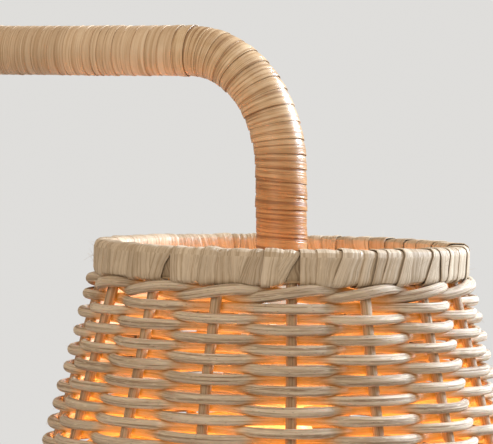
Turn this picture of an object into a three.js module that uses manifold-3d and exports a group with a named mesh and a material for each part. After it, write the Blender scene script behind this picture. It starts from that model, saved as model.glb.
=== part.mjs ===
// A table lamp: a weighted round base covered in coiled rattan, a steel tube bent into a hook and
// wrapped in rattan peel, and a woven rattan shade that hangs from the end of the hook over a bulb.
// Millimetres, +Z up. The origin is the centre of the felt foot, on the surface the lamp stands on.
// The arm runs from the column along +X, and the mains lead enters the base at its -X side.
import * as THREE from "three";
import { mergeVertices } from "three/addons/utils/BufferGeometryUtils.js";
import Module from "manifold-3d";

const wasm = await Module();
wasm.setup();

// ---------------------------------------------------------------- driving dimensions
const GAP = 0.3; // clearance between pieces that touch
const BASE_SIDES = 48; // facets round the base's pieces
const ROD_SIDES = 8; // and round stakes, wires and the lead

// base, from the table up
const BASE_R = 115; // outer radius of the coiled cover
const FELT_T = 2;
const FELT_INSET = 3; // how far the felt stands back from the cover's edge
const BOARD_T = 18;
const PLATE_T = 6;
const PLATE_INSET = 8; // how far the steel plate stands back from the board's edge
const COIL_T = 6; // thickness of the coiled rattan
const COVER_EASE = 4.2; // rounding of the cover's upper edge
const NUT_RECESS_R = 14; // hole in the board for the nut and the lead's bend
const LEAD_Z = 8; // height of the lead's channel over the table
const CHANNEL_W = 8;
const GLAND_FLANGE_R = 6.5;
const GLAND_FLANGE_T = 2.5;
const GLAND_WALL = 2;
const COLLAR_W = 6; // rattan binding round the column's foot
const COLLAR_H = 12;
const COLLAR_EASE = 5; // rounding of the binding's upper edge

// hook: column, arm and drop
const TUBE_R = 11;
const TUBE_WALL = 1.7;
const WRAP_T = 1.7; // rattan peel
const ARM_Z = 525.5; // height of the arm's centreline
const REACH = 215; // column axis to shade axis
const BEND_ARM = 47; // length of each bend along the arm
const BEND_UPRIGHT = 58; // length of each bend along the column or the drop
const DROP_LEAN = 3.2; // the drop starts this far short of the shade's axis and swings out to it
const PLUG_L = 18; // threaded plugs welded into the tube's ends
const NIPPLE_R = 5;
const NIPPLE_BORE_R = 3.5;
const LEAD_R = 2.25;
const LEAD_BEND = 6;
const LEAD_ROOM = 1; // between the drop's nipple and the lampholder's insert
const NUT_T = 4;
const NUT_R = 9.8; // corner radius of a hexagon 17 across its flats

// shade
const RIM_TOP_Z = 430; // height of the shade's top edge
const TOP_RIM_R = 93.4; // outer radius of the wrapped top rim
const RIM_H = 16.4; // wrapped height of each rim
const RIM_WRAP_T = 1.2;
const HOOP_SPARE = 0.22; // how far the hoop inside each rim is wider than the stakes, on each side
const SLOPE = 0.259; // how far the wall leans out for each millimetre down
const STAKE_R = 2.8;
const STAKE_COUNT = 16; // even, so that closed courses alternate
const TENON_R = 1.9;
const TENON_L = 4;
const WEAVER_D = 4.6; // thickness of the woven rods
const WEAVE_H = 137.6; // woven height between the two twined pairs
const COURSE_COUNT = 4; // the weave is modelled as this many courses

// lampholder, fitter and bulb, which hang from the end of the drop
const DROP_BELOW_RIM = 20; // how far the tube reaches down into the shade
const HOLDER_R = 19.7;
const HOLDER_WALL = 2;
const CAP_H = 24;
const BODY_H = 36;
const SPIGOT_H = 4;
const INSERT_FLANGE_H = 8.6;
const INSERT_DEPTH = 5.7; // how far the insert reaches below the body's shoulder
const CONTACT_ROOM = 1.4; // from the insert to the bulb, for the centre contact
const SHELL_BORE_R = 13.3; // inside of the lampholder's screw shell
const SHELL_T = 0.6;
const FLANGE_R = 24;
const FLANGE_T = 3;
const FLANGE_DROP = 17; // top of the body to the top of its flange
const FITTER_T = 2.5;
const FITTER_R = 29;
const SHADE_RING_H = 7;
const SHADE_RING_R = 25.5;
const WIRE_R = 2; // carrier ring and fitter arms
const ARM_COUNT = 3;
const KNOB_R = 9;
const KNOB_L = 14;
const KNOB_SHAFT_R = 2.5;
const KNOB_SHAFT_BITE = 6; // how far the shaft goes into the insert's edge
const KNOB_STAND_OFF = 6; // from the cap's wall to the knob
const KNOB_FLUTES = 12;
const FLUTE_SHARE = 0.92; // a flute's floor, as a share of the knob's radius
const BULB_R = 30;
const BULB_L = 108; // contact to tip
const BULB_CAP_R = SHELL_BORE_R - GAP;
const BULB_CAP_H = 27;
const BULB_CONTACT_R = 5;
const BULB_CONTACT_T = 1.3;
const BULB_CONE_H = 3; // the cap narrows over this height to its contact
const STEM_R = 5;
const STEM_REACH = 30; // how far the stem hangs below the bulb's cap
const GLASS_T = 1;

// ---------------------------------------------------------------- values that follow from them
const BOARD_Z = FELT_T + GAP;
const PLATE_Z = BOARD_Z + BOARD_T + GAP;
const COVER_UNDER_Z = PLATE_Z + PLATE_T + GAP;
const COVER_TOP_Z = COVER_UNDER_Z + COIL_T;
const BOARD_R = BASE_R - COIL_T - GAP;
const PLATE_R = BOARD_R - PLATE_INSET;
const TUBE_BORE_R = TUBE_R - TUBE_WALL;
const WRAP_BORE_R = TUBE_R + GAP;
const WRAP_R = WRAP_BORE_R + WRAP_T;
const TUBE_FOOT_Z = COVER_UNDER_Z;
const DROP_END_Z = RIM_TOP_Z - DROP_BELOW_RIM;
const NIPPLE_HOLE_R = NIPPLE_R + GAP;
const HOLDER_TOP_Z = DROP_END_Z - GAP;
const CAP_FOOT_Z = HOLDER_TOP_Z - CAP_H;
const CAP_TOP_R = NUT_R + GAP + HOLDER_WALL; // the cap's flat top takes the nut underneath
const BODY_TOP_Z = CAP_FOOT_Z - GAP;
const BODY_FOOT_Z = BODY_TOP_Z - BODY_H;
const SPIGOT_R = HOLDER_R - HOLDER_WALL - GAP;
const BODY_BORE_R = SHELL_BORE_R + SHELL_T + GAP;
const INSERT_FLANGE_Z = BODY_TOP_Z + SPIGOT_H + GAP;
const INSERT_TOP_Z = INSERT_FLANGE_Z + INSERT_FLANGE_H;
const INSERT_FOOT_Z = BODY_TOP_Z - INSERT_DEPTH;
const KNOB_Z = INSERT_FLANGE_Z + INSERT_FLANGE_H / 2;
const BULB_TOP_Z = INSERT_FOOT_Z - CONTACT_ROOM;
const FLANGE_Z = BODY_TOP_Z - FLANGE_DROP - FLANGE_T;
const FITTER_Z = FLANGE_Z - GAP - FITTER_T;
const SHADE_RING_Z = FITTER_Z - GAP - SHADE_RING_H;
const BORE_R = HOLDER_R + GAP;
const EASED = 1 - Math.SQRT1_2; // the middle of a rounded edge stands this share of its radius back
const LEAN = Math.atan(SLOPE);
const RIM_SIDES = 2 * STAKE_COUNT;
const HOOP_H = RIM_H - 2 * (RIM_WRAP_T + GAP);
const HOOP_T = 2 * (STAKE_R / Math.cos(LEAN) + SLOPE * (RIM_WRAP_T + GAP) + HOOP_SPARE);
const TOP_HOOP_R = TOP_RIM_R - RIM_WRAP_T - GAP - HOOP_T / 2; // middle of the hoop
const TOP_HOOP_DEPTH = RIM_H - RIM_WRAP_T - GAP; // foot of the top hoop, below the top edge
const TWINE_RISE = WEAVER_D / 2 + GAP; // how far twined rods rise and fall between the stakes
const TWINE_ZONE = 2 * (TWINE_RISE + WEAVER_D / 2 + GAP); // height of each twined pair
const WEAVE_TOP = RIM_H + TWINE_ZONE; // this and the next three are depths below the top edge
const WEAVE_FOOT = WEAVE_TOP + WEAVE_H;
const BOTTOM_RIM_TOP = WEAVE_FOOT + TWINE_ZONE;
const SHADE_H = BOTTOM_RIM_TOP + RIM_H;
const WAVE = STAKE_R / Math.cos(LEAN) + GAP + WEAVER_D / 2; // how far a rod swings off the stakes

// radius of the circle of stakes at a depth below the top edge
const stakeCircle = (depth) => TOP_HOOP_R + SLOPE * (depth - TOP_HOOP_DEPTH);

// ---------------------------------------------------------------- materials
const material = (color, roughness, metalness = 0) =>
  new THREE.MeshStandardMaterial({ color, roughness, metalness });
const RATTAN = material(0xc9a77c, 0.6);
const PEEL = material(0xcf9f6b, 0.38);
const RAFFIA = material(0xc8b08c, 0.7);
const BOARD = material(0xb08a5c, 0.8);
const FELT = material(0x3b3a38, 0.95);
const STEEL = material(0x8d8f92, 0.4, 0.9);
const BRASS = material(0xb99a55, 0.35, 0.95);
const HOLDER = material(0xe9e6df, 0.45);
const LEAD = material(0xd9d4c8, 0.6);
const GLASS = material(0xfff1d8, 0.2);

// ---------------------------------------------------------------- shape helpers
// A solid of revolution about Z from a closed or axis-to-axis outline of [radius, height] pairs.
// The outline runs up on the outside, so that its faces point out.
function turned(outline, sides = 24) {
  const points = outline.map(([r, z]) => new THREE.Vector2(r, z));
  return new THREE.LatheGeometry(points, sides).rotateX(Math.PI / 2);
}

// A plain ring or disc: bore 0 gives a disc.
function ring(bore, radius, low, high, sides = 24) {
  const corners = [[bore, low], [radius, low], [radius, high], [bore, high]];
  if (bore > 0) corners.push([bore, low]);
  return turned(corners, sides);
}

function circle(radius, sides) {
  const corners = [];
  for (let i = 0; i < sides; i += 1) {
    const a = (2 * Math.PI * i) / sides;
    corners.push(new THREE.Vector2(radius * Math.cos(a), radius * Math.sin(a)));
  }
  return corners;
}

// A hexagon nut about Z.
function hexNut(radius, bore, low, height) {
  const shape = new THREE.Shape(circle(radius, 6));
  shape.holes.push(new THREE.Path(circle(bore, 16)));
  return new THREE.ExtrudeGeometry(shape, { depth: height, bevelEnabled: false }).translate(0, 0, low);
}

// Turns a shape about Z into one about the radial line at angle, with its foot at the given radius.
function radial(geometry, angle, radius, z) {
  return geometry.rotateY(Math.PI / 2).translate(radius, 0, 0).rotateZ(angle).translate(0, 0, z);
}

function toSolid(geometry) {
  const bare = geometry.clone();
  bare.deleteAttribute("normal");
  bare.deleteAttribute("uv");
  const merged = mergeVertices(bare, 1e-3);
  return new wasm.Manifold(
    new wasm.Mesh({
      numProp: 3,
      vertProperties: merged.attributes.position.array,
      triVerts: new Uint32Array(merged.index.array),
    }),
  );
}

function toGeometry(solid) {
  const mesh = solid.getMesh();
  return new THREE.BufferGeometry()
    .setAttribute("position", new THREE.BufferAttribute(mesh.vertProperties, 3))
    .setIndex(new THREE.BufferAttribute(mesh.triVerts, 1));
}

// geometry with every tool's shape cut out of it
function cut(geometry, ...tools) {
  let solid = toSolid(geometry);
  for (const tool of tools) solid = solid.subtract(toSolid(tool));
  return toGeometry(solid);
}

// Moves each point of a ring about Z in and out, and up and down, in step with the stakes.
// swing is the radial move at even stakes, and the negative of it at odd ones.
function waved(geometry, swing, rise = 0) {
  const position = geometry.getAttribute("position");
  for (let i = 0; i < position.count; i += 1) {
    const angle = Math.atan2(position.getY(i), position.getX(i));
    const phase = (STAKE_COUNT / 2) * angle;
    const radius = Math.hypot(position.getX(i), position.getY(i)) + swing * Math.cos(phase);
    position.setXYZ(
      i,
      radius * Math.cos(angle),
      radius * Math.sin(angle),
      position.getZ(i) + rise * Math.sin(phase),
    );
  }
  return geometry;
}

// A path that is sampled only at its own stations, so that straight stretches cost no steps.
class StationPath extends THREE.Curve {
  constructor(stations) {
    super();
    this.stations = stations;
    this.steps = stations.length - 1;
  }
  at(share, key, target) {
    const place = share * this.steps;
    const i = Math.min(Math.floor(place), this.steps - 1);
    return target.lerpVectors(this.stations[i][key], this.stations[i + 1][key], place - i);
  }
  getPoint(t, target = new THREE.Vector3()) {
    return this.at(t, "point", target);
  }
  getPointAt(u, target = new THREE.Vector3()) {
    return this.at(u, "point", target);
  }
  getTangentAt(u, target = new THREE.Vector3()) {
    return this.at(u, "tangent", target).normalize();
  }
}

// Stations along straight lines joined by smooth bends. corners are the points where the lines
// meet, each with how far before and after it the bend reaches.
function stationsOf(start, corners, end) {
  const STEP_ANGLE = Math.PI / 12; // the largest turn in one step of a bend
  const stations = [];
  const add = (point, tangent) => stations.push({ point, tangent });
  const points = [start, ...corners.map((c) => c.at), end];
  const direction = (i) => points[i + 1].clone().sub(points[i]).normalize();
  add(start, direction(0));
  corners.forEach((corner, i) => {
    const [before, after] = [direction(i), direction(i + 1)];
    const enter = corner.at.clone().addScaledVector(before, -corner.before);
    const leave = corner.at.clone().addScaledVector(after, corner.after);
    const ROUND = 0.5523; // handle length that makes a Bezier follow a quarter of an ellipse
    const bend = new THREE.CubicBezierCurve3(
      enter,
      enter.clone().addScaledVector(before, ROUND * corner.before),
      leave.clone().addScaledVector(after, -ROUND * corner.after),
      leave,
    );
    const steps = Math.max(1, Math.round(before.angleTo(after) / STEP_ANGLE));
    for (let k = 0; k <= steps; k += 1) add(bend.getPoint(k / steps), bend.getTangent(k / steps));
  });
  add(end, direction(points.length - 2));
  return stations;
}

function swept(shape, stations) {
  const path = new StationPath(stations);
  return new THREE.ExtrudeGeometry(shape, { steps: path.steps, extrudePath: path });
}

// ---------------------------------------------------------------- the lamp
const lamp = new THREE.Group();

function add(name, geometry, finish, group = lamp) {
  const mesh = new THREE.Mesh(geometry, finish);
  mesh.name = name;
  group.add(mesh);
  return mesh;
}

const at = (x, z) => new THREE.Vector3(x, 0, z);

function addBase() {
  add("felt_foot", ring(0, BASE_R - FELT_INSET, 0, FELT_T, BASE_SIDES), FELT);

  // the board has a channel underneath for the lead, from its edge to the recess in its middle
  const channelTop = LEAD_Z + CHANNEL_W / 2;
  const channel = new THREE.BoxGeometry(BASE_R, CHANNEL_W, channelTop);
  channel.translate(-BASE_R / 2 - NIPPLE_R, 0, channelTop / 2);
  const board = ring(NUT_RECESS_R, BOARD_R, BOARD_Z, BOARD_Z + BOARD_T, BASE_SIDES);
  add("base_board", cut(board, channel), BOARD);

  const plate = ring(NIPPLE_HOLE_R, PLATE_R, PLATE_Z, PLATE_Z + PLATE_T, BASE_SIDES);
  add("base_weight_plate", plate, STEEL);

  const coverBore = WRAP_R + GAP;
  const inner = BASE_R - COIL_T;
  const cover = turned(
    [
      [inner, BOARD_Z],
      [BASE_R, BOARD_Z],
      [BASE_R, COVER_TOP_Z - COVER_EASE],
      [BASE_R - COVER_EASE * EASED, COVER_TOP_Z - COVER_EASE * EASED],
      [BASE_R - COVER_EASE, COVER_TOP_Z],
      [coverBore, COVER_TOP_Z],
      [coverBore, COVER_UNDER_Z],
      [inner, COVER_UNDER_Z],
      [inner, BOARD_Z],
    ],
    BASE_SIDES,
  );
  const glandBore = LEAD_R + GAP;
  const glandR = glandBore + GLAND_WALL;
  const flangeStart = COIL_T + GAP;
  const glandHole = ring(0, glandR + GAP, 0, 3 * COIL_T, 16);
  add("base_cover", cut(cover, radial(glandHole, Math.PI, BASE_R - 2 * COIL_T, LEAD_Z)), RATTAN);

  const gland = turned(
    [
      [glandBore, 0],
      [glandR, 0],
      [glandR, flangeStart],
      [GLAND_FLANGE_R, flangeStart],
      [GLAND_FLANGE_R, flangeStart + GLAND_FLANGE_T],
      [glandBore, flangeStart + GLAND_FLANGE_T],
      [glandBore, 0],
    ],
    16,
  );
  add("lead_gland", radial(gland, Math.PI, inner, LEAD_Z), HOLDER);

  const collarLow = COVER_TOP_Z + GAP;
  const collarTop = collarLow + COLLAR_H;
  const collarBore = WRAP_R + GAP;
  const collarR = collarBore + COLLAR_W;
  const collar = turned(
    [
      [collarBore, collarLow],
      [collarR, collarLow],
      [collarR, collarTop - COLLAR_EASE],
      [collarR - COLLAR_EASE * EASED, collarTop - COLLAR_EASE * EASED],
      [collarR - COLLAR_EASE, collarTop],
      [collarBore, collarTop],
      [collarBore, collarLow],
    ],
    BASE_SIDES,
  );
  add("foot_collar", collar, PEEL);
}

// A threaded nipple with its locking nut. The nut sits under the plate or cap that it clamps.
function addNippleAndNut(name, low, high, clampZ, x) {
  add(`${name}_nipple`, ring(NIPPLE_BORE_R, NIPPLE_R, low, high, 16).translate(x, 0, 0), BRASS);
  const nut = hexNut(NUT_R, NIPPLE_HOLE_R, clampZ - GAP - NUT_T, NUT_T);
  add(`${name}_nut`, nut.translate(x, 0, 0), STEEL);
}

// The tube's corners, from the column to the drop. The last one turns the leaning drop upright
// where it enters the shade.
function hookCorners() {
  const KINK_REACH = 4;
  return [
    { at: at(0, ARM_Z), before: BEND_UPRIGHT, after: BEND_ARM },
    { at: at(REACH - DROP_LEAN, ARM_Z), before: BEND_ARM, after: BEND_UPRIGHT },
    { at: at(REACH, DROP_END_Z + PLUG_L + KINK_REACH), before: KINK_REACH, after: KINK_REACH },
  ];
}

function addHook() {
  const stations = stationsOf(at(0, TUBE_FOOT_Z), hookCorners(), at(REACH, DROP_END_Z));
  const PIPE_SIDES = 16;
  const pipe = (bore, radius) => {
    const shape = new THREE.Shape(circle(radius, PIPE_SIDES));
    shape.holes.push(new THREE.Path(circle(bore, PIPE_SIDES)));
    return shape;
  };
  add("hook_tube", swept(pipe(TUBE_BORE_R, TUBE_R), stations), STEEL);
  add("hook_wrap", swept(pipe(WRAP_BORE_R, WRAP_R), stations), PEEL);

  const plugR = TUBE_BORE_R - GAP;
  const footPlugTop = TUBE_FOOT_Z + PLUG_L;
  const dropPlugTop = DROP_END_Z + PLUG_L;
  add("foot_plug", ring(NIPPLE_HOLE_R, plugR, TUBE_FOOT_Z, footPlugTop, 16), STEEL);
  add(
    "drop_plug",
    ring(NIPPLE_HOLE_R, plugR, DROP_END_Z, dropPlugTop, 16).translate(REACH, 0, 0),
    STEEL,
  );

  const leadTurnZ = LEAD_Z + LEAD_BEND;
  addNippleAndNut("base", leadTurnZ, footPlugTop, PLATE_Z, 0);
  const capUnderZ = HOLDER_TOP_Z - HOLDER_WALL;
  addNippleAndNut("drop", INSERT_TOP_Z + LEAD_ROOM, dropPlugTop, capUnderZ, REACH);

  // the lead that the lamp holds all the way, from the gland to the lampholder's insert
  const leadCorners = [{ at: at(0, LEAD_Z), before: LEAD_BEND, after: LEAD_BEND }, ...hookCorners()];
  const leadStart = at(-BASE_R - GLAND_FLANGE_T / 2, LEAD_Z);
  const leadStations = stationsOf(leadStart, leadCorners, at(REACH, INSERT_TOP_Z + GAP));
  add("inner_lead", swept(new THREE.Shape(circle(LEAD_R, ROD_SIDES)), leadStations), LEAD);
}

function addLampholder(group) {
  const knobAngle = -Math.PI / 2;
  const shaftHole = () =>
    radial(ring(0, KNOB_SHAFT_R + GAP, 0, 2 * HOLDER_R, 12), knobAngle, SPIGOT_R - KNOB_SHAFT_BITE, KNOB_Z);

  const shoulderZ = INSERT_TOP_Z + GAP;
  const capBore = HOLDER_R - HOLDER_WALL;
  const cap = turned([
    [NIPPLE_HOLE_R, HOLDER_TOP_Z - HOLDER_WALL],
    [CAP_TOP_R - HOLDER_WALL, HOLDER_TOP_Z - HOLDER_WALL],
    [capBore, shoulderZ],
    [capBore, CAP_FOOT_Z],
    [HOLDER_R, CAP_FOOT_Z],
    [HOLDER_R, shoulderZ],
    [CAP_TOP_R, HOLDER_TOP_Z],
    [NIPPLE_HOLE_R, HOLDER_TOP_Z],
    [NIPPLE_HOLE_R, HOLDER_TOP_Z - HOLDER_WALL],
  ]);
  add("holder_cap", cut(cap, shaftHole()), HOLDER, group);

  add(
    "holder_body",
    turned([
      [BODY_BORE_R, BODY_FOOT_Z],
      [HOLDER_R, BODY_FOOT_Z],
      [HOLDER_R, FLANGE_Z],
      [FLANGE_R, FLANGE_Z],
      [FLANGE_R, FLANGE_Z + FLANGE_T],
      [HOLDER_R, FLANGE_Z + FLANGE_T],
      [HOLDER_R, BODY_TOP_Z],
      [SPIGOT_R, BODY_TOP_Z],
      [SPIGOT_R, BODY_TOP_Z + SPIGOT_H],
      [BODY_BORE_R, BODY_TOP_Z + SPIGOT_H],
      [BODY_BORE_R, BODY_FOOT_Z],
    ]),
    HOLDER,
    group,
  );

  const insertR = BODY_BORE_R - GAP;
  const insert = turned([
    [0, INSERT_FOOT_Z],
    [insertR, INSERT_FOOT_Z],
    [insertR, INSERT_FLANGE_Z],
    [SPIGOT_R, INSERT_FLANGE_Z],
    [SPIGOT_R, INSERT_TOP_Z],
    [0, INSERT_TOP_Z],
  ]);
  add("holder_insert", cut(insert, shaftHole()), HOLDER, group);

  const shellTop = INSERT_FOOT_Z - GAP;
  const SHELL_LIFT = 3; // the shell starts this far above the body's mouth
  add(
    "screw_shell",
    ring(SHELL_BORE_R, SHELL_BORE_R + SHELL_T, BODY_FOOT_Z + SHELL_LIFT, shellTop),
    BRASS,
    group,
  );
  const CONTACT_R = 5;
  const contactZ = BULB_TOP_Z + GAP;
  add("centre_contact", ring(0, CONTACT_R, contactZ, shellTop, 16), BRASS, group);
  add("fitter_ring", ring(BORE_R, FITTER_R, FITTER_Z, FITTER_Z + FITTER_T), STEEL, group);
  add("shade_ring", ring(BORE_R, SHADE_RING_R, SHADE_RING_Z, SHADE_RING_Z + SHADE_RING_H), HOLDER, group);

  // the rotary switch's knob, a fluted cap on a round shaft
  const knobFoot = HOLDER_R + KNOB_STAND_OFF;
  const shaftFoot = SPIGOT_R - KNOB_SHAFT_BITE + GAP;
  add(
    "switch_shaft",
    radial(ring(0, KNOB_SHAFT_R, 0, knobFoot - GAP - shaftFoot, 12), knobAngle, shaftFoot, KNOB_Z),
    BRASS,
    group,
  );
  const flutes = new THREE.Shape(
    circle(KNOB_R, 2 * KNOB_FLUTES).map((p, i) => p.multiplyScalar(i % 2 ? FLUTE_SHARE : 1)),
  );
  const knob = new THREE.ExtrudeGeometry(flutes, { depth: KNOB_L, bevelEnabled: false });
  add("switch_knob", radial(knob, knobAngle, knobFoot, KNOB_Z), HOLDER, group);
}

function addBulb(group) {
  const capFootZ = BULB_TOP_Z - BULB_CAP_H;
  const capTopZ = BULB_TOP_Z - BULB_CONTACT_T - GAP;
  const coneZ = capTopZ - BULB_CONE_H;
  const CAP_SKIN = 0.7;
  const capBore = BULB_CAP_R - CAP_SKIN;
  const coneTopR = BULB_CONTACT_R + 1;
  add(
    "bulb_cap",
    turned([
      [0, capTopZ - CAP_SKIN],
      [coneTopR - CAP_SKIN / 2, capTopZ - CAP_SKIN],
      [capBore, coneZ - CAP_SKIN / 2],
      [capBore, capFootZ],
      [BULB_CAP_R, capFootZ],
      [BULB_CAP_R, coneZ],
      [coneTopR, capTopZ],
      [0, capTopZ],
    ]),
    BRASS,
    group,
  );
  const contact = ring(0, BULB_CONTACT_R, BULB_TOP_Z - BULB_CONTACT_T, BULB_TOP_Z, 16);
  add("bulb_contact", contact, BRASS, group);

  // glass: a straight neck inside the cap, a flare, and a ball of BULB_R at the foot
  const neckR = capBore - GAP;
  const neckTopZ = coneZ - BULB_CONE_H;
  const NECK_HANDLE = 16; // how far the flare's curve keeps to the neck, and then to the ball
  const BALL_HANDLE = 24;
  const NECK_SPREAD = 2;
  const ballZ = BULB_TOP_Z - BULB_L + BULB_R;
  const outside = new THREE.CubicBezierCurve(
    new THREE.Vector2(neckR, capFootZ),
    new THREE.Vector2(neckR + NECK_SPREAD, capFootZ - NECK_HANDLE),
    new THREE.Vector2(BULB_R, ballZ + BALL_HANDLE),
    new THREE.Vector2(BULB_R, ballZ),
  );
  const skin = (inset) => {
    const outline = [];
    const BALL_STEPS = 5;
    const FLARE_STEPS = 4;
    for (let i = 0; i <= BALL_STEPS; i += 1) {
      const a = (Math.PI / 2) * (i / BALL_STEPS);
      outline.push([(BULB_R - inset) * Math.sin(a), ballZ - (BULB_R - inset) * Math.cos(a)]);
    }
    for (let i = 1; i <= FLARE_STEPS; i += 1) {
      const p = outside.getPoint(1 - i / FLARE_STEPS);
      outline.push([p.x - inset, p.y]);
    }
    outline.push([neckR - inset, neckTopZ]);
    outline[0][0] = 0;
    return outline;
  };
  add("bulb_glass", turned([...skin(0), ...skin(GLASS_T).reverse()]), GLASS, group);

  // the stem that carries the light source, a little wider towards the neck
  const stemFootZ = capFootZ - STEM_REACH;
  const stem = turned(
    [[0, stemFootZ], [STEM_R / 2, stemFootZ], [STEM_R / 2, capFootZ], [STEM_R, neckTopZ], [0, neckTopZ]],
    12,
  );
  add("bulb_stem", stem, GLASS, group);
}

// A wrapped rim: a drilled hoop inside a channel of wrapping that is open where the stakes enter.
function addRim(name, group, low, centreR, opensDown) {
  const half = HOOP_T / 2;
  const hoopLow = low + RIM_WRAP_T + GAP;
  const hoop = ring(centreR - half, centreR + half, hoopLow, hoopLow + HOOP_H, RIM_SIDES);
  const drillDepth = opensDown ? RIM_TOP_Z - hoopLow : RIM_TOP_Z - hoopLow - HOOP_H;
  const drills = [];
  for (let i = 0; i < STAKE_COUNT; i += 1) {
    const drill = ring(0, TENON_R + GAP, -TENON_L - 2 * GAP, TENON_L + 2 * GAP, ROD_SIDES);
    drills.push(placedOnWall(drill, drillDepth, i));
  }
  add(`${name}_hoop`, cut(hoop, ...drills), BOARD, group);

  const inside = centreR - half - GAP;
  const outside = centreR + half + GAP;
  const mouthZ = opensDown ? low : low + RIM_H;
  const crownZ = opensDown ? low + RIM_H : low;
  const inward = opensDown ? -RIM_WRAP_T : RIM_WRAP_T;
  const EASE = 2; // how far the wrapped corners are eased
  const outline = [
    [outside, mouthZ],
    [outside + RIM_WRAP_T, mouthZ],
    [outside + RIM_WRAP_T, crownZ + EASE * Math.sign(inward)],
    [outside + RIM_WRAP_T - EASE, crownZ],
    [inside - RIM_WRAP_T + EASE, crownZ],
    [inside - RIM_WRAP_T, crownZ + EASE * Math.sign(inward)],
    [inside - RIM_WRAP_T, mouthZ],
    [inside, mouthZ],
    [inside, crownZ + inward],
    [outside, crownZ + inward],
    [outside, mouthZ],
  ];
  add(`${name}_wrap`, turned(opensDown ? outline : outline.reverse(), RIM_SIDES), RAFFIA, group);
}

// Moves a shape made about Z to the wall's stake line number i, at a depth below the top edge.
function placedOnWall(geometry, depth, i) {
  return geometry
    .rotateY(-LEAN)
    .translate(stakeCircle(depth), 0, RIM_TOP_Z - depth)
    .rotateZ((2 * Math.PI * i) / STAKE_COUNT);
}

function addShade(group) {
  const bottomHoopR = stakeCircle(BOTTOM_RIM_TOP + RIM_WRAP_T + GAP);
  addRim("top_rim", group, RIM_TOP_Z - RIM_H, TOP_HOOP_R, true);
  addRim("bottom_rim", group, RIM_TOP_Z - SHADE_H, bottomHoopR, false);

  // stakes: round rods with a tenon at each end, leaning with the wall
  const shoulder = RIM_WRAP_T - STAKE_R * Math.sin(LEAN); // how deep the rods go into a rim's wrap
  const bodyTop = RIM_H - shoulder;
  const bodyFoot = BOTTOM_RIM_TOP + shoulder;
  const slant = (bodyFoot - bodyTop) / Math.cos(LEAN) / 2;
  for (let i = 0; i < STAKE_COUNT; i += 1) {
    const stake = turned(
      [
        [0, -slant - TENON_L],
        [TENON_R, -slant - TENON_L],
        [TENON_R, -slant],
        [STAKE_R, -slant],
        [STAKE_R, slant],
        [TENON_R, slant],
        [TENON_R, slant + TENON_L],
        [0, slant + TENON_L],
      ],
      ROD_SIDES,
    );
    const number = String(i + 1).padStart(2, "0");
    add(`stake_${number}`, placedOnWall(stake, (bodyTop + bodyFoot) / 2, i), RATTAN, group);
  }

  // woven courses: each passes outside every other stake, and the next course the other way round
  const courseH = (WEAVE_H - (COURSE_COUNT - 1) * GAP) / COURSE_COUNT;
  const ALONG = 4 * STAKE_COUNT; // steps round a course
  for (let i = 0; i < COURSE_COUNT; i += 1) {
    const top = WEAVE_TOP + i * (courseH + GAP);
    const foot = top + courseH;
    const half = WEAVER_D / 2;
    const course = turned(
      [
        [stakeCircle(foot) - half, RIM_TOP_Z - foot],
        [stakeCircle(foot) + half, RIM_TOP_Z - foot],
        [stakeCircle(top) + half, RIM_TOP_Z - top],
        [stakeCircle(top) - half, RIM_TOP_Z - top],
        [stakeCircle(foot) - half, RIM_TOP_Z - foot],
      ],
      ALONG,
    );
    add(`weave_course_${i + 1}`, waved(course, i % 2 ? -WAVE : WAVE), RATTAN, group);
  }

  // twined pairs: two rods that turn round each other between the stakes
  for (const [place, depth] of [["top", RIM_H], ["bottom", WEAVE_FOOT]]) {
    const centre = depth + TWINE_ZONE / 2;
    for (const [side, sign] of [["a", 1], ["b", -1]]) {
      const section = circle(WEAVER_D / 2, 5).map((p) => [
        stakeCircle(centre) + p.x,
        RIM_TOP_Z - centre + p.y,
      ]);
      const rod = turned([...section, section[0]], ALONG);
      add(`${place}_twine_${side}`, waved(rod, sign * WAVE, sign * TWINE_RISE), RATTAN, group);
    }
  }

  // wire ring inside the weave, and the arms that carry it from the fitter ring
  const wireZ = FITTER_Z + FITTER_T / 2;
  const clear = stakeCircle(RIM_TOP_Z - wireZ - WIRE_R) - WAVE - WEAVER_D / 2 - GAP;
  const ringR = clear - WIRE_R;
  const wireRing = new THREE.TorusGeometry(ringR, WIRE_R, 6, 3 * STAKE_COUNT);
  add("carrier_ring", wireRing.translate(0, 0, wireZ), STEEL, group);
  for (let i = 0; i < ARM_COUNT; i += 1) {
    const foot = FITTER_R + GAP;
    const arm = ring(0, WIRE_R, 0, ringR - WIRE_R - GAP - foot, ROD_SIDES);
    const angle = Math.PI / 2 + (2 * Math.PI * i) / ARM_COUNT;
    add(`fitter_arm_${i + 1}`, radial(arm, angle, foot, wireZ), STEEL, group);
  }
}

addBase();
addHook();
const head = new THREE.Group(); // everything about the shade's axis
head.position.set(REACH, 0, 0);
lamp.add(head);
addLampholder(head);
addBulb(head);
addShade(head);

export default lamp;
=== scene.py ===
"""The looks of a rattan hook lamp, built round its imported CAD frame.

Everything is in metres, in the frame's own coordinates: the post stands on the origin, the arm runs
along +X, and the shade hangs round a vertical axis at the arm's end.
"""

import math

import bpy
import numpy as np
from mathutils import Matrix, Vector


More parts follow.
